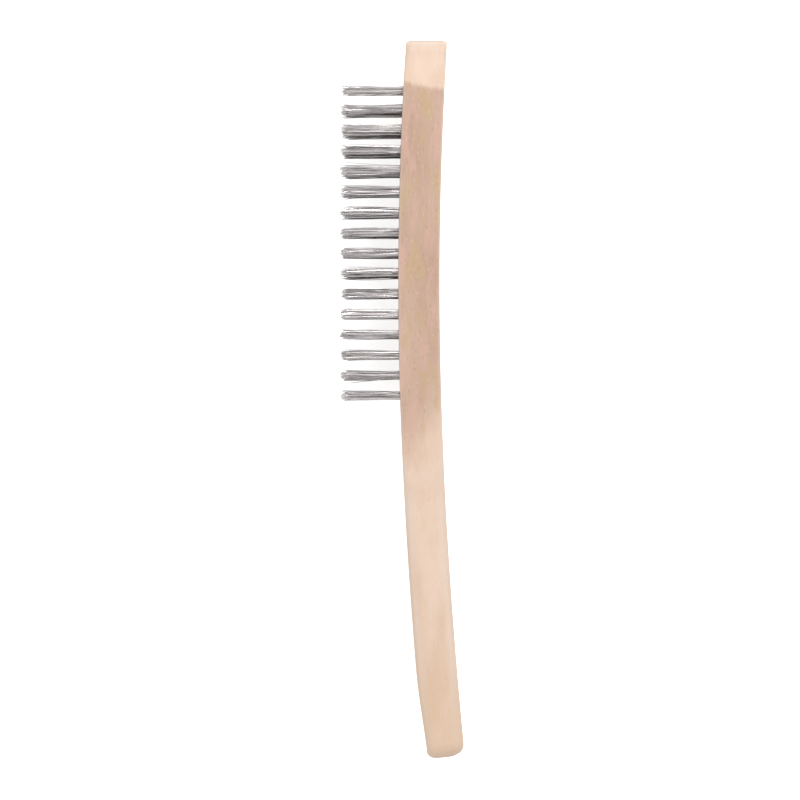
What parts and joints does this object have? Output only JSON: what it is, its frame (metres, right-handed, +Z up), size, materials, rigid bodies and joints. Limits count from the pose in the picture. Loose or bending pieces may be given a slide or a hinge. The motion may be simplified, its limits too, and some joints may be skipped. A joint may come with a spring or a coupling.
{
  "type": "wire brush",
  "caption": "Hand scratch brush: a curved one-piece wooden handle with straight steel wire tufts set in rows in the block.",
  "frame": {"origin": "middle of the bounding box, on its underside: the brush lies on one side of its block, at z = 0", "axes": "+Y along the brush from the handle's butt to the nose; -X the way the wires point; +Z up, across the block's width"},
  "size_m": [0.0624, 0.3588, 0.0286],
  "materials": {
    "beech": "matte",
    "tuft_wire": "satin",
    "anchor_wire": "satin"
  },
  "bodies": {
    "root": {"handle": "beech", "tuft_row_01": "tuft_wire", "tuft_row_02": "tuft_wire", "tuft_row_03": "tuft_wire", "tuft_row_04": "tuft_wire", "tuft_row_05": "tuft_wire", "tuft_row_06": "tuft_wire", "tuft_row_07": "tuft_wire", "tuft_row_08": "tuft_wire", "tuft_row_09": "tuft_wire", "tuft_row_10": "tuft_wire", "tuft_row_11": "tuft_wire", "tuft_row_12": "tuft_wire", "tuft_row_13": "tuft_wire", "tuft_row_14": "tuft_wire", "tuft_row_15": "tuft_wire", "tuft_row_16": "tuft_wire", "anchor_row_01": "anchor_wire", "anchor_row_02": "anchor_wire", "anchor_row_03": "anchor_wire", "anchor_row_04": "anchor_wire", "anchor_row_05": "anchor_wire", "anchor_row_06": "anchor_wire", "anchor_row_07": "anchor_wire", "anchor_row_08": "anchor_wire", "anchor_row_09": "anchor_wire", "anchor_row_10": "anchor_wire", "anchor_row_11": "anchor_wire", "anchor_row_12": "anchor_wire", "anchor_row_13": "anchor_wire", "anchor_row_14": "anchor_wire", "anchor_row_15": "anchor_wire", "anchor_row_16": "anchor_wire"}
  },
  "joints": []
}
